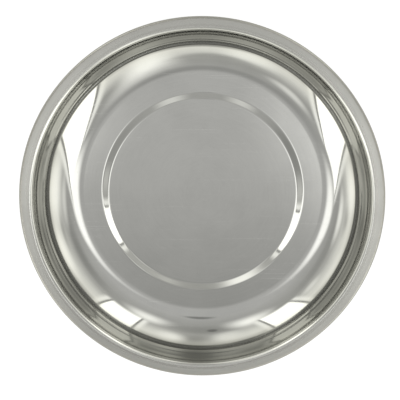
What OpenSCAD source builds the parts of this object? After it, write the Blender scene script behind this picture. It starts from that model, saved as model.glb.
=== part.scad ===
// Magnetic parts tray: a pressed steel dish on a rubber-covered ring magnet.
// Millimetres, +Z up, origin under the middle of the foot.

/* [Dish] */
// Overall diameter over the rolled edge
rim_d = 150; // [140:1:200]
// Depth from the top of the wall to the floor
dish_depth = 18.5; // [17:0.5:30]
// Thickness of the steel sheet
sheet_t = 0.7; // [0.5:0.1:0.9]
// Lean of the wall away from upright, in degrees
wall_lean = 10; // [4:1:14]
// Radius of the corner between floor and wall, on the polished side
corner_r = 19; // [12:0.5:20]
// Width of the flange from the wall to the rolled edge
flange_w = 5.5; // [4:0.1:9]
// How far the flange falls towards its edge
flange_drop = 0.2; // [0.1:0.1:0.9]
// Radius of the bend between wall and flange, on the polished side
rim_bend_r = 1.8; // [1.2:0.1:2]
// Outer radius of the rolled edge
hem_r = 1; // [0.9:0.1:1.4]
// Length of the flat part that is rolled back under the flange
hem_return = 1.2; // [0.6:0.1:2]

/* [Raised centre] */
// Height of the raised centre above the floor
step_h = 0.9; // [0.6:0.1:1.4]
// Width of the slope around the raised centre
step_run = 2.7; // [2.2:0.1:4]
// Radius of the bends at the top and foot of the slope, on the polished side
step_bend_r = 2.5; // [1.5:0.1:3]
// How far the raised centre reaches past the boot that sits under it
seat_clear = 0.6; // [0.5:0.1:1.5]

/* [Magnet] */
// Outer diameter of the ring magnet
magnet_d = 72; // [60:1:76]
// Bore of the ring magnet
magnet_bore = 32; // [30:1:40]
// Thickness of the ring magnet
magnet_h = 10; // [9:0.5:15]
// Thickness of the foam pad and of the boot's lip, between magnet and dish
pad_t = 0.8; // [0.5:0.1:1.5]
// Gap between the foam pad and the boot's lip
pad_gap = 0.3; // [0.2:0.1:1]

/* [Boot] */
// Thickness of the boot's side
boot_wall = 2.8; // [2:0.1:4]
// Thickness of the boot's floor
boot_floor_t = 3; // [2.5:0.1:5]
// Gap between the boot and the magnet
boot_fit = 0.2; // [0.1:0.05:0.3]
// Width of the lip that snaps over the magnet
lip_w = 5; // [3:0.5:8]
// Radius of the boot's lower edge
boot_edge_r = 1.6; // [0.8:0.1:2]
// Number of round ribs under the boot
foot_ribs = 4; // [3:1:5]
// Height of the ribs
foot_rib_h = 1; // [0.6:0.1:1.5]
// Width of a rib where it rests
foot_rib_w = 2.4; // [1.5:0.1:3]

/* [Clamp] */
// Diameter of the cup washer's flange
clamp_d = 44; // [40:1:54]
// Thickness of the cup washer
clamp_t = 1.2; // [1:0.1:1.5]
// Outer diameter of the cup
cup_d = 23; // [20:0.5:24]
// Height of the cup above the magnet's lower face
cup_h = 6.5; // [6.5:0.1:7.5]
// Gap around the clamp in the boot and in the hub
clamp_fit = 0.2; // [0.1:0.05:0.4]
// Gap between the hub and the magnet's bore
hub_fit = 0.2; // [0.1:0.05:0.4]

/* [Fasteners] */
// Diameter of the weld stud
stud_d = 5; // [4:0.5:5]
// Diameter of the stud's weld flange
weld_flange_d = 6.5; // [6:0.1:8]
// Thickness of the stud's weld flange
weld_flange_t = 0.8; // [0.5:0.1:1.2]
// How far the stud stands out of the nut
stud_tip = 0.8; // [0.4:0.1:1.2]
// Gap around the stud in the hub, the cup and the washer
stud_fit = 0.25; // [0.1:0.05:0.4]
// Gap around the stud in the nut
thread_fit = 0.05; // [0.02:0.01:0.1]
// Outer diameter of the spring washer
washer_d = 9.2; // [8:0.1:11]
// Thickness of the spring washer
washer_t = 1.2; // [0.8:0.1:1.4]
// Width of the split in the spring washer
washer_split = 1; // [0.5:0.1:1.5]
// Width of the nut across its flats
nut_flats = 8; // [7:0.5:9]
// Height of the nut
nut_h = 4; // [3:0.1:4]
// Depth of the chamfer on the nut's corners and on the stud's end
edge_chamfer = 0.5; // [0.3:0.1:0.6]

/* [Hidden] */
$fn = 128;
// Straight steps that a round of the outlines is drawn with
arc_steps = 16;
// How far a cut or a joined shape runs past the face that it meets
overrun = 0.2;
// Shortest straight stretch between two rounds of the sheet
round_gap = 0.2;
// Radius on the edges of the magnet
magnet_edge_r = 0.5;
// Radius on the upper edge of the boot
boot_top_r = 0.5;
// Slope of the sides of a foot rib, as a width at its root beyond that at its tip
rib_flare = 0.4;
// Radius of the inner bend between the cup and its flange, on the upper side
cup_foot_r = 0.6;
// Radius of the bend around the top of the cup, beyond the thickness of the sheet
cup_top_extra_r = 0.4;

// Radii, from the axis outwards
stud_r = stud_d / 2;
cup_r = cup_d / 2;
bore_r = magnet_bore / 2;
clamp_r = clamp_d / 2;
magnet_r = magnet_d / 2;
boot_r = magnet_r + boot_fit + boot_wall;
plateau_r = boot_r + seat_clear;
rim_r = rim_d / 2;
wall_top_r = rim_r - flange_w;
wall_foot_r = wall_top_r - dish_depth * tan(wall_lean);
slope_foot_r = plateau_r + step_run;

// The round of the floor corner, limited by the straight floor and wall on its two sides
slope_angle = atan(step_h / step_run);
flange_angle = atan(flange_drop / flange_w);
floor_room = wall_foot_r - slope_foot_r - step_bend_r * tan(slope_angle / 2) - round_gap;
wall_room = dish_depth / cos(wall_lean) - rim_bend_r * tan((90 - wall_lean + flange_angle) / 2) - round_gap;
floor_corner_r = min(corner_r, min(floor_room, wall_room) / tan((90 - wall_lean) / 2));

// Heights, from the table upwards
magnet_z = foot_rib_h + boot_floor_t;
magnet_top_z = magnet_z + magnet_h;
seat_z = magnet_top_z + pad_t;
plateau_z = seat_z + sheet_t;
floor_z = plateau_z - step_h;
wall_top_z = floor_z + dish_depth;
edge_z = wall_top_z - flange_drop;
hem_z = edge_z - hem_r * tan((90 + flange_angle) / 2) - round_gap - hem_r;
cup_top_z = magnet_z + cup_h;
washer_z = cup_top_z - clamp_t - washer_t;
nut_z = washer_z - nut_h;
stud_z = nut_z - stud_tip;
pocket_z = magnet_z - clamp_t - clamp_fit;

// Vector helpers for the outlines, which are drawn as radius and height
function unit(v) = v / norm(v);
function left_of(v) = [-v[1], v[0]];
function spin(v, angle) = cos(angle) * v + sin(angle) * left_of(v);
function reversed(list) = [for (i = [len(list) - 1 : -1 : 0]) list[i]];

// The round at corner b of the line a, b, c, moved sideways to the left by aside
function round_corner(a, b, c, r, aside = 0) =
    let (
        into = unit(b - a),
        out = unit(c - b),
        way = sign(cross(into, out)),
        swing = acos(into * out),
        centre = b - into * r * tan(swing / 2) + way * r * left_of(into)
    )
    [
        for (i = [0 : arc_steps])
            centre - (way * r - aside) * spin(left_of(into), way * swing * i / arc_steps)
    ];

// An open line with rounded corners, moved sideways to the left by aside
function bent_line(points, radii, aside = 0) =
    let (
        last = len(points) - 1,
        first_aside = aside * left_of(unit(points[1] - points[0])),
        last_aside = aside * left_of(unit(points[last] - points[last - 1]))
    )
    concat(
        [points[0] + first_aside],
        [
            for (i = [1 : last - 1])
                each round_corner(points[i - 1], points[i], points[i + 1], radii[i - 1], aside)
        ],
        [points[last] + last_aside]
    );

// Outline of a bent sheet: the line is its upper side, and its thickness lies below
function bent_sheet(points, radii, thickness) =
    concat(bent_line(points, radii), reversed(bent_line(points, radii, -thickness)));

// A closed outline with rounded corners, where a radius of zero leaves a corner sharp
function rounded_outline(points, radii) =
    let (count = len(points))
    [
        for (i = [0 : count - 1])
            let (
                before = points[(i + count - 1) % count],
                after = points[(i + 1) % count]
            )
            each (radii[i] > 0 ? round_corner(before, points[i], after, radii[i]) : [points[i]])
    ];

// Pressed bowl: raised centre, floor, corner, wall, flange and rolled edge
module dish() {
    line = [
        [0, plateau_z],
        [plateau_r, plateau_z],
        [slope_foot_r, floor_z],
        [wall_foot_r, floor_z],
        [wall_top_r, wall_top_z],
        [rim_r, edge_z],
        [rim_r, hem_z],
        [rim_r - hem_r - hem_return, hem_z],
    ];
    radii = [step_bend_r, step_bend_r, floor_corner_r, rim_bend_r, hem_r, hem_r];
    color("silver")
        rotate_extrude()
            polygon(bent_sheet(line, radii, sheet_t));
}

// Threaded stud, welded by its flange to the underside of the raised centre
module weld_stud() {
    outline = [
        [0, stud_z],
        [stud_r - edge_chamfer, stud_z],
        [stud_r, stud_z + edge_chamfer],
        [stud_r, seat_z - weld_flange_t],
        [weld_flange_d / 2, seat_z - weld_flange_t],
        [weld_flange_d / 2, seat_z],
        [0, seat_z],
    ];
    color("darkgoldenrod")
        rotate_extrude()
            polygon(outline);
}

// Foam ring between the magnet and the dish
module cushion_pad() {
    color("dimgray")
        translate([0, 0, magnet_top_z])
            ring(magnet_r - lip_w - pad_gap, bore_r, pad_t);
}

// Ferrite ring
module ring_magnet() {
    outline = [
        [bore_r, magnet_z],
        [magnet_r, magnet_z],
        [magnet_r, magnet_top_z],
        [bore_r, magnet_top_z],
    ];
    color("darkslategray")
        rotate_extrude()
            polygon(rounded_outline(outline, [for (corner = outline) magnet_edge_r]));
}

// Plastic hub that centres the magnet on the stud and takes the clamping load
module centring_hub() {
    hub_r = bore_r - hub_fit;
    cup_pocket_r = cup_r + clamp_fit;
    stud_hole_r = stud_r + stud_fit;
    flange_hole_r = weld_flange_d / 2 + stud_fit;
    flange_hole_z = seat_z - weld_flange_t - stud_fit;
    outline = [
        [cup_pocket_r, magnet_z + cup_foot_r],
        [hub_r, magnet_z + cup_foot_r],
        [hub_r, seat_z],
        [flange_hole_r, seat_z],
        [flange_hole_r, flange_hole_z],
        [stud_hole_r, flange_hole_z],
        [stud_hole_r, cup_top_z],
        [cup_pocket_r, cup_top_z],
    ];
    color("ivory")
        rotate_extrude()
            polygon(outline);
}

// Pressed cup washer: its flange carries the magnet and its cup takes the nut
module clamp_cup() {
    line = [
        [stud_r + stud_fit, cup_top_z],
        [cup_r, cup_top_z],
        [cup_r, magnet_z],
        [clamp_r, magnet_z],
    ];
    color("lightsteelblue")
        rotate_extrude()
            polygon(bent_sheet(line, [clamp_t + cup_top_extra_r, cup_foot_r], clamp_t));
}

// Split washer, drawn flat as it is under the nut
module spring_washer() {
    color("slategray")
        translate([0, 0, washer_z])
            difference() {
                ring(washer_d / 2, stud_r + stud_fit, washer_t);
                translate([0, -washer_split / 2, -overrun])
                    cube([washer_d, washer_split, washer_t + 2 * overrun]);
            }
}

// Hexagon nut with chamfered corners
module hex_nut() {
    corner_circle_r = nut_flats / 2 / cos(30);
    bevel = [
        [0, 0],
        [corner_circle_r - edge_chamfer, 0],
        [corner_circle_r, edge_chamfer],
        [corner_circle_r, nut_h - edge_chamfer],
        [corner_circle_r - edge_chamfer, nut_h],
        [0, nut_h],
    ];
    color("lightgray")
        translate([0, 0, nut_z])
            difference() {
                intersection() {
                    cylinder(h = nut_h, r = corner_circle_r, $fn = 6);
                    rotate_extrude()
                        polygon(bevel);
                }
                translate([0, 0, -overrun])
                    cylinder(h = nut_h + 2 * overrun, r = stud_r + thread_fit);
            }
}

// Moulded cover: a lip over the magnet, a closed floor and ribs to rest on
module rubber_boot() {
    lip_r = magnet_r - lip_w;
    inner_r = magnet_r + boot_fit;
    pocket_r = clamp_r + clamp_fit;
    outline = [
        [0, foot_rib_h],
        [boot_r, foot_rib_h],
        [boot_r, seat_z],
        [lip_r, seat_z],
        [lip_r, magnet_top_z],
        [inner_r, magnet_top_z],
        [inner_r, magnet_z],
        [pocket_r, magnet_z],
        [pocket_r, pocket_z],
        [0, pocket_z],
    ];
    radii = [0, boot_edge_r, boot_top_r, 0, 0, 0, 0, 0, 0, 0];
    outer_rib_r = boot_r - boot_edge_r - rib_flare - foot_rib_w / 2;
    rib_pitch = outer_rib_r / foot_ribs;
    color([0.09, 0.09, 0.1]) {
        rotate_extrude()
            polygon(rounded_outline(outline, radii));
        for (i = [1 : foot_ribs])
            rotate_extrude()
                polygon(rib_outline(i * rib_pitch));
    }
}

// Section of one foot rib, rooted in the boot's floor
function rib_outline(middle_r) =
    let (
        tip = foot_rib_w / 2,
        root = tip + rib_flare
    )
    [
        [middle_r - tip, 0],
        [middle_r + tip, 0],
        [middle_r + root, foot_rib_h],
        [middle_r + root, foot_rib_h + overrun],
        [middle_r - root, foot_rib_h + overrun],
        [middle_r - root, foot_rib_h],
    ];

// Plain ring standing on its own base
module ring(outer_r, inner_r, height) {
    difference() {
        cylinder(h = height, r = outer_r);
        translate([0, 0, -overrun])
            cylinder(h = height + 2 * overrun, r = inner_r);
    }
}

dish();
weld_stud();
cushion_pad();
ring_magnet();
centring_hub();
clamp_cup();
spring_washer();
hex_nut();
rubber_boot();
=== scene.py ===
import math

import bmesh
import bpy
from mathutils import Matrix, Vector


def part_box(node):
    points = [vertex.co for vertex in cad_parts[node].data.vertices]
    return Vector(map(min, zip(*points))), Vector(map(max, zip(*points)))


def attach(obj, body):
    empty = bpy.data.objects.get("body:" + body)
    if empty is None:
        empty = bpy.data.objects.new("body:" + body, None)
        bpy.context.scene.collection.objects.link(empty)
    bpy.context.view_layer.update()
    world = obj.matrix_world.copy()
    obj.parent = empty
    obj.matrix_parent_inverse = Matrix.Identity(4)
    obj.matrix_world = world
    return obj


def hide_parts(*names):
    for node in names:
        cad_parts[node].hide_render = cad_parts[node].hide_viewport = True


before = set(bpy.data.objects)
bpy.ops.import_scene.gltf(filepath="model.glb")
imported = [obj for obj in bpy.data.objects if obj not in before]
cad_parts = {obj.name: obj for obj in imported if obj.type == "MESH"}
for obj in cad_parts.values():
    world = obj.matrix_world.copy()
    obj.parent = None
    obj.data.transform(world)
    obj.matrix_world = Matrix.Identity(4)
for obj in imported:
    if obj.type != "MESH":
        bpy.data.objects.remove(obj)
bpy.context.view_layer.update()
mm = 0.001
halfTurn = 180.0  # degrees
scene = bpy.context.scene
print("frame:", ", ".join(sorted(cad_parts)))


def linear(hexColour):  # sRGB hex to a linear colour with alpha
    shares = [int(hexColour[i:i + 2], 16) / 255 for i in (1, 3, 5)]
    return (*[s / 12.92 if s <= 0.04045 else ((s + 0.055) / 1.055) ** 2.4 for s in shares], 1.0)


# One node with its settings. Inputs are values or links, by name or number; a Mix's colours are 6 and 7.
def addNode(tree, kind, inputs=None, **settings):
    made = tree.nodes.new(kind)
    for name, value in settings.items():
        setattr(made, name, value)
    for key, value in (inputs or {}).items():
        if isinstance(value, bpy.types.Node):
            value = next(s for s in value.outputs if s.enabled)
        if isinstance(value, bpy.types.NodeSocket):
            tree.links.new(value, made.inputs[key])
        else:
            made.inputs[key].default_value = value
    return made


def setRamp(ramp, stops):  # stops are (place, grey or colour, alpha)
    while len(ramp.elements) > 1:
        ramp.elements.remove(ramp.elements[-1])
    for i, (place, colour, alpha) in enumerate(stops):
        stop = ramp.elements[0] if i == 0 else ramp.elements.new(place)
        stop.position = place
        stop.color = (colour, colour, colour, alpha) if isinstance(colour, float) else (*colour[:3], alpha)


def newMaterial(name):  # an empty material and its tree
    material = bpy.data.materials.new(name)
    material.use_nodes = True
    material.node_tree.nodes.clear()
    return material, material.node_tree


def finishMaterial(material, inputs):
    shader = addNode(material.node_tree, "ShaderNodeBsdfPrincipled", inputs)
    addNode(material.node_tree, "ShaderNodeOutputMaterial", {0: shader})
    return material


# Camera: almost straight above, leaning a little towards the top of the picture
view = dict(
    distance=600 * mm,  # from the middle of the rim
    lean=11.3,  # degrees from upright
    turn=5.0,  # degrees that the lean is turned from +Y towards +X
    aimAside=-0.75 * mm,  # along X from the axis
    aimBelowTop=1.2 * mm,  # down from the top of the dish
    lens=131.8,  # focal length in mm
)


def makeCamera(v):
    lean, turn = math.radians(v["lean"]), math.radians(v["turn"])
    rim = Vector((0, 0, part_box("dish")[1].z - v["aimBelowTop"]))
    towards = Vector((math.sin(lean) * math.sin(turn), math.sin(lean) * math.cos(turn), math.cos(lean)))
    eye = rim + v["distance"] * towards
    back = (eye - rim - Vector((v["aimAside"], 0, 0))).normalized()
    right = Vector((0, 1, 0)).cross(back).normalized()
    axes = Matrix((right, back.cross(right), back)).transposed()
    camera = bpy.data.objects.new("camera", bpy.data.cameras.new("camera"))
    camera.data.lens = v["lens"]
    camera.matrix_world = Matrix.Translation(eye) @ axes.to_4x4()
    scene.collection.objects.link(camera)
    scene.camera = camera


makeCamera(view)
scene.view_settings.view_transform = "Standard"
print("camera set")

# Studio: a pale tent with four tall lamps in its corners.
# Angles are degrees, down from straight overhead and round from +X.
studio = dict(
    backdrop="#FFFFFF",  # what the camera sees behind everything
    horizon=90.0,
    # light of the tent from overhead down to the horizon
    tent=[
        (0, 0.80), (12, 0.80), (22, 0.72), (32, 0.66), (42, 0.65), (50, 0.80),
        (58, 1.05), (66, 1.28), (76, 1.4), (84, 1.1), (90, 0.65),
    ],
    # tint of the light from overhead down to the horizon
    tint=[(0, "#FFFFFF"), (60, "#FFFFFA"), (85, "#FFFEF6")],
    lampLight=2.6,
    lampPivot=50,  # how far down a leaning lamp stands at its place round
    # place round, half width, where each end is dark and where it is full, lean for each degree down
    lamps=[
        dict(round=320.3, half=11.8, top=(21, 27), foot=(88, 80), lean=-0.13),
        dict(round=215.0, half=10.6, top=(26, 31), foot=(90, 80), lean=0.15),
        dict(round=51.0, half=9.4, top=(44, 53), foot=(91, 83), lean=-0.05),
        dict(round=130.0, half=9.6, top=(43, 50), foot=(91, 83), lean=0.10),
    ],
    # lamp face, dark frame and lit strip outside it: half widths from the middle, light, cover
    lampFace=[
        (0.0, 1.0, 1.0), (0.86, 1.0, 1.0), (0.93, 0.18, 1.0), (0.98, 0.18, 1.0),
        (1.07, 0.64, 1.0), (1.2, 0.64, 1.0), (1.45, 0.5, 0.0),
    ],
    lampReach=2.0,  # half widths that the list above has room for
    soft=0.8,  # how gently a patch fades, as a share of its half width
    patchDepth=0.5,  # half size of a patch along its own direction, as a share of the tent's radius
    # darker and lighter places on the tent: place round and down, half length, half width, light
    patches=[
        dict(round=268, down=19, long=6, wide=12, light=0.54),
        dict(round=92, down=45, long=9, wide=10, light=0.52),
        dict(round=88, down=66, long=15, wide=8, light=0.6, soft=0.95),
        dict(round=12, down=37, long=7, wide=11, light=0.48),
        dict(round=168, down=37, long=6, wide=12, light=0.56),
        dict(round=0, down=58, long=4, wide=8, light=0.75),
        dict(round=302, down=34, long=10, wide=4, light=0.65),
        dict(round=341, down=30, long=5, wide=4, light=0.66),
        dict(round=183, down=64, long=5, wide=6, light=0.85),
        dict(round=324, down=17, long=9.5, wide=5.5, light=2.2, roll=18, soft=0.5),
        dict(round=206.6, down=17.6, long=8.5, wide=5.5, light=2.05, roll=-20, soft=0.5),
        dict(round=61, down=39, long=8, wide=6, light=1.8, soft=0.9),
        dict(round=117, down=40, long=9, wide=6, light=1.9, soft=0.9),
        dict(round=287, down=55, long=24, wide=6, light=1.9),
        dict(round=254, down=69, long=12, wide=7, light=1.7),
        dict(round=240, down=36, long=6, wide=4, light=1.3),
        dict(round=76, down=70, long=10, wide=5, light=1.6),
        dict(round=103, down=66, long=10, wide=5, light=1.45),
        dict(round=347, down=70, long=13, wide=9, light=1.85),
        dict(round=14, down=76, long=10, wide=9, light=1.8),
        dict(round=193, down=74, long=10, wide=8, light=1.85),
        dict(round=185, down=47, long=5, wide=7, light=1.6),
        dict(round=347, down=45, long=5, wide=7, light=1.2),
        dict(round=160, down=78, long=7, wide=9, light=1.5),
        dict(round=150, down=56, long=5, wide=4, light=1.33),
        dict(round=266, down=50, long=7, wide=7, light=0.66),
        dict(round=269, down=83, long=4, wide=12, light=0.6),
        # two small openings in the tent
        dict(round=92, down=12, long=3, wide=2.4, light=0.4, soft=0.5),
        dict(round=96.5, down=45, long=3.4, wide=1.8, light=0.3, soft=0.4),
    ],
)


def layPatch(tree, way, light, patch, s):  # one patch over the light so far
    axes = Matrix.Identity(3)
    for key, axis in (("round", "Z"), ("down", "Y"), ("roll", "Z")):
        axes = axes @ Matrix.Rotation(math.radians(patch.get(key, 0)), 3, axis)
    halves = [math.sin(math.radians(patch[key])) for key in ("long", "wide")]
    place = addNode(tree, "ShaderNodeMapping", {
        "Vector": way, "Location": axes @ Vector((0, 0, 1)), "Rotation": axes.to_euler(),
        "Scale": (*halves, s["patchDepth"]),
    }, vector_type="TEXTURE")
    away = addNode(tree, "ShaderNodeVectorMath", {0: place}, operation="LENGTH").outputs["Value"]
    soft = patch.get("soft", s["soft"])
    mask = addNode(tree, "ShaderNodeMapRange", {
        "Value": away, "From Min": 1 + soft, "From Max": 1 - soft}, interpolation_type="SMOOTHSTEP")
    lit = (patch["light"], patch["light"], patch["light"], 1)
    return addNode(tree, "ShaderNodeMix", {0: mask, 6: light, 7: lit}, data_type="RGBA").outputs[2]


def layLamp(tree, down, bearing, light, lamp, s):  # one lamp over the light so far
    upright = lamp["round"] - s["lampPivot"] * lamp["lean"]
    middle = addNode(tree, "ShaderNodeMath", {
        0: down, 1: lamp["lean"], 2: upright}, operation="MULTIPLY_ADD")
    aside = addNode(tree, "ShaderNodeMath", {0: bearing, 1: middle}, operation="SUBTRACT")
    wrapped = addNode(tree, "ShaderNodeMath", {0: aside, 1: halfTurn, 2: -halfTurn}, operation="WRAP")
    across = addNode(tree, "ShaderNodeMath", {0: wrapped}, operation="ABSOLUTE")
    reach = addNode(tree, "ShaderNodeMapRange", {"Value": across, "From Max": s["lampReach"] * lamp["half"]})
    face = addNode(tree, "ShaderNodeValToRGB", {0: reach})
    setRamp(face.color_ramp, [(place / s["lampReach"], grey, alpha) for place, grey, alpha in s["lampFace"]])
    mask = face.outputs[1]
    for dark, full in (lamp["top"], lamp["foot"]):
        fade = addNode(tree, "ShaderNodeMapRange", {
            "Value": down, "From Min": dark, "From Max": full}, interpolation_type="SMOOTHSTEP")
        mask = addNode(tree, "ShaderNodeMath", {0: mask, 1: fade}, operation="MULTIPLY")
    lit = addNode(tree, "ShaderNodeVectorMath", {
        0: face.outputs[0], "Scale": s["lampLight"]}, operation="SCALE")
    return addNode(tree, "ShaderNodeMix", {0: mask, 6: light, 7: lit}, data_type="RGBA").outputs[2]


def makeStudio(s):
    world = bpy.data.worlds.new("studio")
    scene.world = world
    world.use_nodes = True
    tree = world.node_tree
    tree.nodes.clear()
    way = addNode(tree, "ShaderNodeTexCoord").outputs["Generated"]
    x, y, z = addNode(tree, "ShaderNodeSeparateXYZ", {0: way}).outputs
    fromTop = addNode(tree, "ShaderNodeMath", {0: z}, operation="ARCCOSINE")
    down = addNode(tree, "ShaderNodeMath", {0: fromTop}, operation="DEGREES")
    turned = addNode(tree, "ShaderNodeMath", {0: y, 1: x}, operation="ARCTAN2")
    bearing = addNode(tree, "ShaderNodeMath", {0: turned}, operation="DEGREES")
    share = addNode(tree, "ShaderNodeMapRange", {"Value": down, "From Max": s["horizon"]})
    tent = addNode(tree, "ShaderNodeValToRGB", {0: share})
    setRamp(tent.color_ramp, [(degrees / s["horizon"], grey, 1.0) for degrees, grey in s["tent"]])
    light = tent.outputs[0]
    for patch in s["patches"]:
        light = layPatch(tree, way, light, patch, s)
    for lamp in s["lamps"]:
        light = layLamp(tree, down, bearing, light, lamp, s)
    tint = addNode(tree, "ShaderNodeValToRGB", {0: share})
    setRamp(tint.color_ramp, [(degrees / s["horizon"], linear(tone), 1.0) for degrees, tone in s["tint"]])
    tinted = addNode(tree, "ShaderNodeMix", {
        0: 1.0, 6: light, 7: tint}, data_type="RGBA", blend_type="MULTIPLY")
    lights = addNode(tree, "ShaderNodeBackground", {0: tinted.outputs[2]})
    plain = addNode(tree, "ShaderNodeBackground", {0: linear(s["backdrop"])})
    path = addNode(tree, "ShaderNodeLightPath")
    shown = addNode(tree, "ShaderNodeMixShader", {0: path.outputs["Is Camera Ray"], 1: lights, 2: plain})
    addNode(tree, "ShaderNodeOutputWorld", {0: shown})


makeStudio(studio)

# Floor: grey paper with a glow that makes it white to the eye, clear from below so that the foot shows
floorLook = dict(half=6000 * mm, below=0.05 * mm, glow=0.82, paper="#8C8C8C")


def makeFloor(f):
    paper, tree = newMaterial("paperFloor")
    dull = addNode(tree, "ShaderNodeBsdfDiffuse", {0: linear(f["paper"])})
    path = addNode(tree, "ShaderNodeLightPath")
    seen = path.outputs["Is Camera Ray"]
    for ray in ("Is Glossy Ray", "Is Transmission Ray"):
        seen = addNode(tree, "ShaderNodeMath", {0: seen, 1: path.outputs[ray]}, operation="MAXIMUM")
    strength = addNode(tree, "ShaderNodeMath", {0: seen, 1: f["glow"]}, operation="MULTIPLY")
    glow = addNode(tree, "ShaderNodeEmission", {"Strength": strength})
    both = addNode(tree, "ShaderNodeAddShader", {0: dull, 1: glow})
    clear = addNode(tree, "ShaderNodeBsdfTransparent")
    below = addNode(tree, "ShaderNodeNewGeometry").outputs["Backfacing"]
    shown = addNode(tree, "ShaderNodeMixShader", {0: below, 1: both, 2: clear})
    addNode(tree, "ShaderNodeOutputMaterial", {0: shown})
    mesh = bpy.data.meshes.new("floor")
    h = f["half"]
    mesh.from_pydata([(-h, -h, 0), (h, -h, 0), (h, h, 0), (-h, h, 0)], [], [(0, 1, 2, 3)])
    mesh.materials.append(paper)
    floor = bpy.data.objects.new("floor", mesh)
    floor.location.z = -f["below"]
    scene.collection.objects.link(floor)


makeFloor(floorLook)
print("studio and floor made")


# Turned pieces: a corner line in radius and height, rounded and spun about the axis by one node tree
def buildSpinTree():
    tree = bpy.data.node_groups.new("spinProfile", "GeometryNodeTree")
    for name, kind, way in (
        ("Corner line", "NodeSocketGeometry", "INPUT"), ("Segments", "NodeSocketInt", "INPUT"),
        ("Seam", "NodeSocketFloat", "INPUT"), ("Sharp angle", "NodeSocketFloat", "INPUT"),
        ("Material", "NodeSocketMaterial", "INPUT"), ("Piece", "NodeSocketGeometry", "OUTPUT"),
    ):
        tree.interface.new_socket(name, in_out=way, socket_type=kind)
    given = addNode(tree, "NodeGroupInput").outputs
    line = addNode(tree, "GeometryNodeMeshToCurve", {0: given["Corner line"]})
    radius = addNode(tree, "GeometryNodeInputNamedAttribute", {0: "round"}, data_type="FLOAT")
    steps = addNode(tree, "GeometryNodeInputNamedAttribute", {0: "steps"}, data_type="INT")
    bent = addNode(tree, "GeometryNodeFilletCurve", {
        "Curve": line, "Count": steps.outputs[0], "Radius": radius.outputs[0]}, mode="POLY")
    size = addNode(tree, "GeometryNodeAttributeDomainSize", {0: bent}, component="CURVE")
    count = size.outputs["Point Count"]
    columns = addNode(tree, "ShaderNodeMath", {0: given["Segments"], 1: 1.0}, operation="ADD")
    grid = addNode(tree, "GeometryNodeMeshGrid", {"Vertices X": columns, "Vertices Y": count})
    index = addNode(tree, "GeometryNodeInputIndex")
    passed = addNode(tree, "ShaderNodeMath", {0: index, 1: count}, operation="DIVIDE")
    column = addNode(tree, "ShaderNodeMath", {0: passed}, operation="FLOOR")
    row = addNode(tree, "ShaderNodeMath", {0: index, 1: count}, operation="MODULO")
    place = addNode(tree, "GeometryNodeInputPosition")
    point = addNode(tree, "GeometryNodeSampleIndex", {
        "Geometry": bent, "Value": place, "Index": row}, data_type="FLOAT_VECTOR")
    turn = addNode(tree, "ShaderNodeMath", {0: column, 1: given["Segments"]}, operation="DIVIDE")
    angle = addNode(tree, "ShaderNodeMath", {0: turn, 1: 2 * math.pi}, operation="MULTIPLY")
    spun = addNode(tree, "ShaderNodeVectorRotate", {"Vector": point, "Angle": angle}, rotation_type="Z_AXIS")
    placed = addNode(tree, "GeometryNodeSetPosition", {"Geometry": grid.outputs["Mesh"], "Position": spun})
    closed = addNode(tree, "GeometryNodeMergeByDistance", {"Geometry": placed, "Distance": given["Seam"]})
    smooth = addNode(tree, "GeometryNodeSetShadeSmooth", {"Geometry": closed}, domain="FACE")
    bend = addNode(tree, "GeometryNodeInputMeshEdgeAngle").outputs["Unsigned Angle"]
    sharp = addNode(tree, "FunctionNodeCompare", {
        0: bend, 1: given["Sharp angle"]}, operation="GREATER_THAN")
    creased = addNode(tree, "GeometryNodeSetShadeSmooth", {
        "Geometry": smooth, "Selection": sharp, "Shade Smooth": False}, domain="EDGE")
    real = addNode(tree, "GeometryNodeRealizeInstances", {0: creased})
    clad = addNode(tree, "GeometryNodeSetMaterial", {"Geometry": real, "Material": given["Material"]})
    addNode(tree, "NodeGroupOutput", {0: clad})
    return tree


spinTree = buildSpinTree()
spinLook = dict(
    segments=256,
    guard=0.3 * mm,  # from a round to the point beside it
    seam=0.002 * mm,  # points nearer than this are merged
    sharpAngle=35.0,  # degrees past which an edge isn't smoothed
)


def roundedLine(name, corners, guard):  # the corner line as a mesh that carries its rounds
    sharp = (0, 1)  # no round, in one step
    corners = [corner if len(corner) > 2 else (*corner, *sharp) for corner in corners]
    points = [Vector((r, 0, z)) for r, z, *_ in corners]
    ways = [(b - a).normalized() for a, b in zip(points, points[1:])]
    reach = [0.0] * len(points)  # how far a round reaches from its corner
    for i in range(1, len(points) - 1):
        reach[i] = corners[i][2] * math.tan(ways[i - 1].angle(ways[i]) / 2)
    rows = []
    for i, (corner, p) in enumerate(zip(corners, points)):
        rows.append((p, *corner[2:]))
        if i == len(ways):
            break
        start = p + ways[i] * (reach[i] + guard)
        end = points[i + 1] - ways[i] * (reach[i + 1] + guard)
        if (end - start).dot(ways[i]) > guard:  # points beside the rounds keep the straight flat
            if reach[i] > 0:
                rows.append((start, *sharp))
            if reach[i + 1] > 0:
                rows.append((end, *sharp))
    mesh = bpy.data.meshes.new(name)
    mesh.from_pydata([p for p, *_ in rows], [(i, i + 1) for i in range(len(rows) - 1)], [])
    mesh.attributes.new("round", "FLOAT", "POINT").data.foreach_set("value", [r for _, r, _ in rows])
    mesh.attributes.new("steps", "INT", "POINT").data.foreach_set("value", [s for *_, s in rows])
    return mesh


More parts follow.
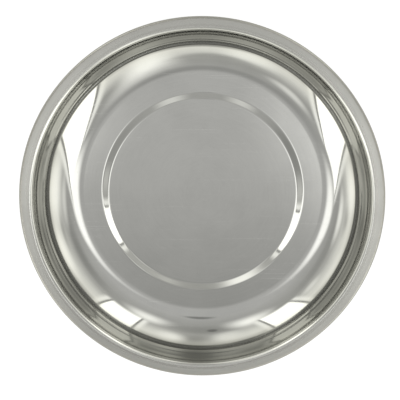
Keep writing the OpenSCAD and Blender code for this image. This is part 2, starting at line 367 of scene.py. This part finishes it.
# A corner is its radius and height and, where it is rounded, the round and its steps
def spinPiece(name, corners, material, look=spinLook):
    line = roundedLine(name, corners, look["guard"])
    piece = bpy.data.objects.new(name, line)
    scene.collection.objects.link(piece)
    spin = piece.modifiers.new("spin", "NODES")
    spin.node_group = spinTree
    sockets = {s.name: s.identifier for s in spinTree.interface.items_tree if s.in_out == "INPUT"}
    spin[sockets["Segments"]] = look["segments"]
    spin[sockets["Seam"]] = look["seam"]
    spin[sockets["Sharp angle"]] = math.radians(look["sharpAngle"])
    spin[sockets["Material"]] = material
    made = bpy.data.meshes.new_from_object(piece.evaluated_get(bpy.context.evaluated_depsgraph_get()))
    piece.modifiers.clear()
    piece.data = made
    bpy.data.meshes.remove(line)
    made.name = name
    outwards = bmesh.new()
    outwards.from_mesh(made)
    bmesh.ops.recalc_face_normals(outwards, faces=outwards.faces)
    outwards.to_mesh(made)
    outwards.free()
    return piece


steelLook = dict(
    outerRadius=75.0,  # in mm, where the next two lists end
    # colour by radius: floor and corner, wall darkened as painted shade, bend at its top lightened as a
    # painted highlight, a darker ring beside it as painted shade, flange, and rolled edge darkened as
    # painted shade
    colour=[
        (0, "#B9B9B5"), (63.5, "#B9B9B5"),
        (65.5, "#9D9D99"), (68.8, "#9D9D99"),
        (69.4, "#BEBEB9"), (70.6, "#BEBEB9"),
        (71.3, "#A5A49F"), (72.3, "#ACACA7"), (73.9, "#A9A8A3"), (74.6, "#97968F"), (75, "#8C8B85"),
    ],
    # roughness by radius: a mirror inside, softer up the wall, satin on the flange and its rolled edge
    rough=[
        (0, 0.035), (63, 0.035),
        (65.5, 0.08), (68.8, 0.09),
        (69.4, 0.16), (70.6, 0.18),
        (71.4, 0.25), (75, 0.32),
    ],
    # haze of handling; From and Full are the noise levels at which a pattern starts and is full
    hazePatch=18 * mm, hazeFrom=0.4, hazeFull=0.75, hazeRough=0.03, hazeDark=0.93,
    # polishing lines, drawn coarser than real ones so that they show; more arcs make shorter lines
    linePitch=0.8 * mm, lineArcs=3.0, lineFrom=0.45, lineFull=0.8, lineRough=0.2,
    # the colour's tone along the polishing lines is a painted sheen
    linePaintedSheen=0.012, toneFrom=0.3, toneFull=0.7,
    # sets of hairline scratches, turned by these degrees, drawn wider than real ones so that they show
    scratchTurns=(24, 112, 163), scratchLength=40 * mm, scratchWidth=0.35 * mm, scratchReach=60 * mm,
    # the colour's tone along the scratches is a painted glint
    scratchFrom=0.77, scratchFull=0.82, scratchRough=0.10, scratchPaintedGlint=0.03,
    wave=26 * mm, waveDepth=0.05 * mm,  # the sheet is not quite flat after pressing
    ripplePitch=0.9 * mm, rippleDepth=0.012 * mm,  # round ripples up the wall
    wallStart=63.5 * mm, wallFull=66 * mm,
)

# The underside is left as it was pressed: an even satin grey
undersideLook = dict(
    steelLook, colour=[(0, "#A9A8A3"), (75, "#AFAEA9")], rough=[(0, 0.3), (75, 0.26)],
    hazePatch=9 * mm, hazeRough=0.05, hazeDark=0.96, lineRough=0.15, scratchPaintedGlint=0.0,
)


def polishingLines(tree, flat, radius, s):  # noise drawn out round the axis
    outwards = addNode(tree, "ShaderNodeVectorMath", {0: flat}, operation="NORMALIZE")
    x, y, _ = addNode(tree, "ShaderNodeSeparateXYZ", {0: outwards}).outputs
    ringwise = addNode(tree, "ShaderNodeCombineXYZ", {0: radius, 1: x, 2: y})
    run = addNode(tree, "ShaderNodeMapping", {
        "Vector": ringwise, "Scale": (1 / s["linePitch"], s["lineArcs"], s["lineArcs"])})
    return addNode(tree, "ShaderNodeTexNoise", {"Vector": run, "Scale": 1.0, "Detail": 2.0})


def hairScratches(tree, place, radius, s):  # noise drawn out along each direction, inside the reach only
    found = 0.0
    for turn in s["scratchTurns"]:
        run = addNode(tree, "ShaderNodeMapping", {
            "Vector": place, "Rotation": (0, 0, math.radians(turn)),
            "Scale": (1 / s["scratchLength"], 1 / s["scratchWidth"], 0.0)})
        streak = addNode(tree, "ShaderNodeTexNoise", {"Vector": run, "Scale": 1.0, "Detail": 0.0})
        thin = addNode(tree, "ShaderNodeMapRange", {
            "Value": streak, "From Min": s["scratchFrom"], "From Max": s["scratchFull"]})
        found = addNode(tree, "ShaderNodeMath", {0: found, 1: thin}, operation="MAXIMUM")
    near = addNode(tree, "ShaderNodeMath", {0: radius, 1: s["scratchReach"]}, operation="LESS_THAN")
    return addNode(tree, "ShaderNodeMath", {0: found, 1: near}, operation="MULTIPLY")


def sheetRelief(tree, place, height, radius, s):  # slow waves everywhere and ripples up the wall
    waves = addNode(tree, "ShaderNodeTexNoise", {"Vector": place, "Scale": 1 / s["wave"], "Detail": 1.0})
    bent = addNode(tree, "ShaderNodeBump", {"Height": waves, "Distance": s["waveDepth"]})
    ripples = addNode(tree, "ShaderNodeTexNoise", {
        "W": height, "Scale": 1 / s["ripplePitch"], "Detail": 2.0}, noise_dimensions="1D")
    onWall = addNode(tree, "ShaderNodeMapRange", {
        "Value": radius, "From Min": s["wallStart"], "From Max": s["wallFull"]})
    rippled = addNode(tree, "ShaderNodeMath", {0: ripples, 1: onWall}, operation="MULTIPLY")
    return addNode(tree, "ShaderNodeBump", {"Height": rippled, "Distance": s["rippleDepth"], "Normal": bent})


# Stainless steel, pressed and then polished on a turning wheel: a grey mirror with round lines and haze
def stainless(name, s):
    material, tree = newMaterial(name)
    place = addNode(tree, "ShaderNodeTexCoord").outputs["Object"]
    x, y, height = addNode(tree, "ShaderNodeSeparateXYZ", {0: place}).outputs
    flat = addNode(tree, "ShaderNodeCombineXYZ", {0: x, 1: y})
    radius = addNode(tree, "ShaderNodeVectorMath", {0: flat}, operation="LENGTH").outputs["Value"]
    share = addNode(tree, "ShaderNodeMapRange", {"Value": radius, "From Max": s["outerRadius"] * mm})
    lines = polishingLines(tree, flat, radius, s)
    scratches = hairScratches(tree, place, radius, s)
    cloud = addNode(tree, "ShaderNodeTexNoise", {
        "Vector": place, "Scale": 1 / s["hazePatch"], "Detail": 4.0, "Roughness": 0.6})
    haze = addNode(tree, "ShaderNodeMapRange", {
        "Value": cloud, "From Min": s["hazeFrom"], "From Max": s["hazeFull"]})

    # roughness: by radius, then haze, lines and scratches on top
    smooth = addNode(tree, "ShaderNodeValToRGB", {0: share})
    setRamp(smooth.color_ramp, [(r / s["outerRadius"], rough, 1.0) for r, rough in s["rough"]])
    hazy = addNode(tree, "ShaderNodeMath", {
        0: haze, 1: s["hazeRough"], 2: smooth.outputs[0]}, operation="MULTIPLY_ADD")
    lined = addNode(tree, "ShaderNodeMapRange", {
        "Value": lines, "From Min": s["lineFrom"], "From Max": s["lineFull"]})
    lined = addNode(tree, "ShaderNodeMath", {0: lined, 1: smooth.outputs[0]}, operation="MULTIPLY")
    lined = addNode(tree, "ShaderNodeMath", {0: lined, 1: s["lineRough"], 2: hazy}, operation="MULTIPLY_ADD")
    rough = addNode(tree, "ShaderNodeMath", {
        0: scratches, 1: s["scratchRough"], 2: lined}, operation="MULTIPLY_ADD")

    # colour: by radius with its painted shade and painted highlight, dulled by the haze, with a slight
    # painted sheen from lines and scratches
    # the steel's colour by radius, carrying the painted shade and painted highlight of the list above
    steelAndPaintedLight = addNode(tree, "ShaderNodeValToRGB", {0: share})
    setRamp(steelAndPaintedLight.color_ramp, [(r / s["outerRadius"], linear(colour), 1.0) for r, colour in s["colour"]])
    dulled = addNode(tree, "ShaderNodeVectorMath", {0: steelAndPaintedLight, "Scale": s["hazeDark"]}, operation="SCALE")
    handled = addNode(tree, "ShaderNodeMix", {0: haze, 6: steelAndPaintedLight, 7: dulled}, data_type="RGBA")
    tone = addNode(tree, "ShaderNodeMapRange", {
        "Value": lines, "From Min": s["toneFrom"], "From Max": s["toneFull"],
        "To Min": 1 - s["linePaintedSheen"], "To Max": 1 + s["linePaintedSheen"]})
    tone = addNode(tree, "ShaderNodeMath", {
        0: scratches, 1: s["scratchPaintedGlint"], 2: tone}, operation="MULTIPLY_ADD")
    colour = addNode(tree, "ShaderNodeVectorMath", {0: handled.outputs[2], "Scale": tone}, operation="SCALE")
    return finishMaterial(material, {
        "Base Color": colour, "Metallic": 1.0, "Roughness": rough,
        "Normal": sheetRelief(tree, place, height, radius, s),
    })


rubberLook = dict(
    black="#1A1A1B", bloom="#2B2A28", worn="#4A4846",  # fresh, with a grey bloom, and scuffed
    bloomPatch=9 * mm, bloomFrom=0.42, bloomFull=0.7,
    cloudFrom=0.3, cloudFull=0.7, roughLow=0.5, roughHigh=0.68,  # the bloom's clouds also set the roughness
    scuff=2.5 * mm, scuffFrom=0.38, scuffFull=0.62, wornBelow=0.5 * mm,
    grain=0.5 * mm, grainDepth=0.03 * mm,
)


# Nitrile rubber, compression moulded: soft black with a grey bloom, scuffed paler where it rubs on the table
def mouldedRubber(s):
    material, tree = newMaterial("mouldedRubber")
    place = addNode(tree, "ShaderNodeTexCoord").outputs["Object"]
    height = addNode(tree, "ShaderNodeSeparateXYZ", {0: place}).outputs[2]
    cloud = addNode(tree, "ShaderNodeTexNoise", {
        "Vector": place, "Scale": 1 / s["bloomPatch"], "Detail": 5.0})
    bloom = addNode(tree, "ShaderNodeMapRange", {
        "Value": cloud, "From Min": s["bloomFrom"], "From Max": s["bloomFull"]})
    base = addNode(tree, "ShaderNodeMix", {
        0: bloom, 6: linear(s["black"]), 7: linear(s["bloom"])}, data_type="RGBA")
    low = addNode(tree, "ShaderNodeMapRange", {"Value": height, "From Min": s["wornBelow"], "From Max": 0.0})
    rub = addNode(tree, "ShaderNodeTexNoise", {"Vector": place, "Scale": 1 / s["scuff"], "Detail": 6.0})
    rubbed = addNode(tree, "ShaderNodeMapRange", {
        "Value": rub, "From Min": s["scuffFrom"], "From Max": s["scuffFull"]})
    wear = addNode(tree, "ShaderNodeMath", {0: low, 1: rubbed}, operation="MULTIPLY")
    colour = addNode(tree, "ShaderNodeMix", {
        0: wear, 6: base.outputs[2], 7: linear(s["worn"])}, data_type="RGBA")
    rough = addNode(tree, "ShaderNodeMapRange", {
        "Value": cloud, "From Min": s["cloudFrom"], "From Max": s["cloudFull"],
        "To Min": s["roughLow"], "To Max": s["roughHigh"]})
    grain = addNode(tree, "ShaderNodeTexNoise", {"Vector": place, "Scale": 1 / s["grain"], "Detail": 3.0})
    bumps = addNode(tree, "ShaderNodeBump", {"Height": grain, "Distance": s["grainDepth"]})
    return finishMaterial(material, {"Base Color": colour.outputs[2], "Roughness": rough, "Normal": bumps})


dishSizes = dict(
    sheet=0.7 * mm, depth=18.5 * mm, cornerRound=19 * mm,
    wallLean=10.0,  # degrees from upright
    flangeWidth=5.5 * mm, flangeDrop=0.2 * mm, rimBend=1.8 * mm,
    hemRound=1 * mm, hemGap=0.2 * mm, hemReturn=1.2 * mm,  # the rolled edge
    stepHeight=0.9 * mm, stepRun=2.7 * mm, stepBend=2.5 * mm,  # the slope round the raised centre
    seatClear=0.6 * mm,  # from the boot to the start of that slope
    steps=dict(step=10, corner=48, rim=14, edge=14, hem=12),  # faces round each bend
)


def makeDish(d):
    low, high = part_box("dish")
    rimR = high.x
    floorZ = low.z + d["sheet"]
    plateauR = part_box("rubber_boot")[1].x + d["seatClear"]
    plateauZ = floorZ + d["stepHeight"]
    wallTopR = rimR - d["flangeWidth"]
    wallFootR = wallTopR - d["depth"] * math.tan(math.radians(d["wallLean"]))
    wallTopZ = floorZ + d["depth"]
    edgeZ = wallTopZ - d["flangeDrop"]
    edgeTurn = math.pi / 2 + math.atan(d["flangeDrop"] / d["flangeWidth"])
    hemZ = edgeZ - d["hemRound"] * (math.tan(edgeTurn / 2) + 1) - d["hemGap"]
    steps = d["steps"]
    dish = spinPiece("dish_shell", [
        (0, plateauZ),
        (plateauR, plateauZ, d["stepBend"], steps["step"]),
        (plateauR + d["stepRun"], floorZ, d["stepBend"], steps["step"]),
        (wallFootR, floorZ, d["cornerRound"], steps["corner"]),
        (wallTopR, wallTopZ, d["rimBend"], steps["rim"]),
        (rimR, edgeZ, d["hemRound"], steps["edge"]),
        (rimR, hemZ, d["hemRound"], steps["hem"]),
        (rimR - d["hemRound"] - d["hemReturn"], hemZ),
    ], stainless("polishedStainless", steelLook))
    if min(dish.data.polygons, key=lambda f: f.center.xy.length).normal.z < 0:
        dish.data.flip_normals()  # the polished side faces up
    wall = dish.modifiers.new("sheet", "SOLIDIFY")
    wall.thickness = d["sheet"]
    wall.offset = -1
    wall.use_even_offset = True
    dish.data.materials.append(stainless("satinStainless", undersideLook))
    wall.material_offset = 1  # the underside takes the second material
    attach(dish, "root")
    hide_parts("dish")
    print("dish made:", len(dish.data.polygons), "faces")


makeDish(dishSizes)

bootSizes = dict(
    magnetFit=0.2 * mm, lipWidth=5 * mm, clampFit=0.2 * mm,
    sideEdge=1.6 * mm, topEdge=0.5 * mm, lipEdge=0.25 * mm,
    ribs=4, ribHeight=1 * mm, ribWidth=2.4 * mm, ribFlare=0.4 * mm, ribEdge=0.3 * mm,
    # the mould's parting line
    seamHeight=7.5 * mm, seamTall=0.5 * mm, seamProud=0.12 * mm, seamEdge=0.1 * mm,
    steps=dict(rib=4, side=10, seam=3, top=6, lip=4),  # faces round each edge
)


def makeBoot(b):
    bootR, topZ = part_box("rubber_boot")[1].x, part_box("rubber_boot")[1].z
    magnetLow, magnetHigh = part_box("ring_magnet")
    clampLow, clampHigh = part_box("clamp_cup")
    innerR, lipR = magnetHigh.x + b["magnetFit"], magnetHigh.x - b["lipWidth"]
    pocketR, pocketZ = clampHigh.x + b["clampFit"], clampLow.z - b["clampFit"]
    soleZ, tip = b["ribHeight"], b["ribWidth"] / 2
    root = tip + b["ribFlare"]
    pitch = (bootR - b["sideEdge"] - root) / b["ribs"]
    steps = b["steps"]
    corners = [(0, soleZ)]
    for i in range(1, b["ribs"] + 1):
        corners += [(i * pitch + across, z, b["ribEdge"], steps["rib"])
                    for across, z in ((-root, soleZ), (-tip, 0), (tip, 0), (root, soleZ))]
    corners += [(bootR, soleZ, b["sideEdge"], steps["side"])]
    half, proud = b["seamTall"] / 2, b["seamProud"]
    corners += [(bootR + out, b["seamHeight"] + up, b["seamEdge"], steps["seam"])
                for out, up in ((0, -half), (proud, -half / 2), (proud, half / 2), (0, half))]
    corners += [
        (bootR, topZ, b["topEdge"], steps["top"]),
        (lipR, topZ, b["lipEdge"], steps["lip"]),
        (lipR, magnetHigh.z, b["lipEdge"], steps["lip"]),
        (innerR, magnetHigh.z),
        (innerR, magnetLow.z),
        (pocketR, magnetLow.z),
        (pocketR, pocketZ),
        (0, pocketZ),
    ]
    boot = spinPiece("boot_cover", corners, mouldedRubber(rubberLook))
    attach(boot, "root")
    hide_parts("rubber_boot")
    print("boot made:", len(boot.data.polygons), "faces")


makeBoot(bootSizes)

copperLook = dict(
    bright="#B9784C", dark="#8A5B3E", patch=2 * mm, roughLow=0.28, roughHigh=0.46,
    threadPitch=0.8 * mm, threadDepth=0.25 * mm,
    wavePeriod=math.pi / 10,  # the length after which a Wave texture of scale 1 repeats
)


# Steel with a flash of copper: a warm brown-pink metal, darker where it was handled, ridged by its thread
def copperedSteel(s):
    material, tree = newMaterial("copperedSteel")
    place = addNode(tree, "ShaderNodeTexCoord").outputs["Object"]
    patch = addNode(tree, "ShaderNodeTexNoise", {"Vector": place, "Scale": 1 / s["patch"], "Detail": 4.0})
    colour = addNode(tree, "ShaderNodeMix", {
        0: patch, 6: linear(s["bright"]), 7: linear(s["dark"])}, data_type="RGBA")
    rough = addNode(tree, "ShaderNodeMapRange", {
        "Value": patch, "To Min": s["roughLow"], "To Max": s["roughHigh"]})
    thread = addNode(tree, "ShaderNodeTexWave", {
        "Vector": place, "Scale": s["wavePeriod"] / s["threadPitch"],
    }, bands_direction="Z", wave_profile="TRI")
    ridges = addNode(tree, "ShaderNodeBump", {"Height": thread.outputs[1], "Distance": s["threadDepth"]})
    return finishMaterial(material, {
        "Base Color": colour.outputs[2], "Metallic": 1.0, "Roughness": rough, "Normal": ridges})


foamLook = dict(pitShade="#1E1E1E", pale="#2C2C2B", cell=0.7 * mm, pitDepth=0.12 * mm, rough=0.92)


# Closed-cell foam: dull black with fine open cells where it was cut, each cell darker towards its pit as
# painted shade
def closedCellFoam(s):
    material, tree = newMaterial("closedCellFoam")
    place = addNode(tree, "ShaderNodeTexCoord").outputs["Object"]
    cells = addNode(tree, "ShaderNodeTexVoronoi", {"Vector": place, "Scale": 1 / s["cell"]})
    fromMiddle = cells.outputs["Distance"]
    colour = addNode(tree, "ShaderNodeMix", {
        0: fromMiddle, 6: linear(s["pitShade"]), 7: linear(s["pale"])}, data_type="RGBA")
    pits = addNode(tree, "ShaderNodeBump", {"Height": fromMiddle, "Distance": s["pitDepth"]})
    return finishMaterial(material, {
        "Base Color": colour.outputs[2], "Roughness": s["rough"], "Normal": pits})


ferriteLook = dict(
    dark="#2C2D31", pale="#43444A", roughLow=0.42, roughHigh=0.62,
    grindLength=14 * mm, grindWidth=0.25 * mm, grindDepth=0.02 * mm,
)


# Sintered ferrite: charcoal grey and dense, with a fine grain of grinding lines
def groundFerrite(s):
    material, tree = newMaterial("groundFerrite")
    place = addNode(tree, "ShaderNodeTexCoord").outputs["Object"]
    run = addNode(tree, "ShaderNodeMapping", {
        "Vector": place, "Scale": (1 / s["grindLength"], 1 / s["grindWidth"], 1 / s["grindWidth"])})
    lines = addNode(tree, "ShaderNodeTexNoise", {"Vector": run, "Scale": 1.0, "Detail": 3.0})
    colour = addNode(tree, "ShaderNodeMix", {
        0: lines, 6: linear(s["dark"]), 7: linear(s["pale"])}, data_type="RGBA")
    rough = addNode(tree, "ShaderNodeMapRange", {
        "Value": lines, "To Min": s["roughLow"], "To Max": s["roughHigh"]})
    cuts = addNode(tree, "ShaderNodeBump", {"Height": lines, "Distance": s["grindDepth"]})
    return finishMaterial(material, {"Base Color": colour.outputs[2], "Roughness": rough, "Normal": cuts})


nylonLook = dict(
    pale="#E2DDCE", dark="#CFC8B5", patch=6 * mm, roughLow=0.36, roughHigh=0.52,
    grain=0.4 * mm, grainDepth=0.01 * mm,
)


# Undyed nylon: a warm off-white with a soft sheen and slight clouding from the mould
def naturalNylon(s):
    material, tree = newMaterial("naturalNylon")
    place = addNode(tree, "ShaderNodeTexCoord").outputs["Object"]
    cloud = addNode(tree, "ShaderNodeTexNoise", {"Vector": place, "Scale": 1 / s["patch"], "Detail": 3.0})
    colour = addNode(tree, "ShaderNodeMix", {
        0: cloud, 6: linear(s["pale"]), 7: linear(s["dark"])}, data_type="RGBA")
    rough = addNode(tree, "ShaderNodeMapRange", {
        "Value": cloud, "To Min": s["roughLow"], "To Max": s["roughHigh"]})
    grain = addNode(tree, "ShaderNodeTexNoise", {"Vector": place, "Scale": 1 / s["grain"]})
    skin = addNode(tree, "ShaderNodeBump", {"Height": grain, "Distance": s["grainDepth"]})
    return finishMaterial(material, {"Base Color": colour.outputs[2], "Roughness": rough, "Normal": skin})


zincLook = dict(
    bright="#C3C7CC", dark="#9CA4AE", spangle=2.2 * mm, roughLow=0.22, roughHigh=0.4,
    grain=0.5 * mm, grainDepth=0.008 * mm,
)


# Zinc plate with a clear blue passivation: a cool, slightly cloudy silver
def brightZinc(s):
    material, tree = newMaterial("brightZinc")
    place = addNode(tree, "ShaderNodeTexCoord").outputs["Object"]
    cloud = addNode(tree, "ShaderNodeTexNoise", {"Vector": place, "Scale": 1 / s["spangle"], "Detail": 3.0})
    colour = addNode(tree, "ShaderNodeMix", {
        0: cloud, 6: linear(s["bright"]), 7: linear(s["dark"])}, data_type="RGBA")
    rough = addNode(tree, "ShaderNodeMapRange", {
        "Value": cloud, "To Min": s["roughLow"], "To Max": s["roughHigh"]})
    grain = addNode(tree, "ShaderNodeTexNoise", {"Vector": place, "Scale": 1 / s["grain"], "Detail": 3.0})
    skin = addNode(tree, "ShaderNodeBump", {"Height": grain, "Distance": s["grainDepth"]})
    return finishMaterial(material, {
        "Base Color": colour.outputs[2], "Metallic": 1.0, "Roughness": rough, "Normal": skin})


def finishFittings():  # the inner pieces keep their CAD shape and get their materials
    zinc = brightZinc(zincLook)
    finishes = dict(
        weld_stud=copperedSteel(copperLook), cushion_pad=closedCellFoam(foamLook),
        ring_magnet=groundFerrite(ferriteLook), centring_hub=naturalNylon(nylonLook),
        clamp_cup=zinc, spring_washer=zinc, hex_nut=zinc,
    )
    for name, material in finishes.items():
        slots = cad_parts[name].data.materials
        slots.clear()
        slots.append(material)
    print("fittings finished:", ", ".join(finishes))


finishFittings()
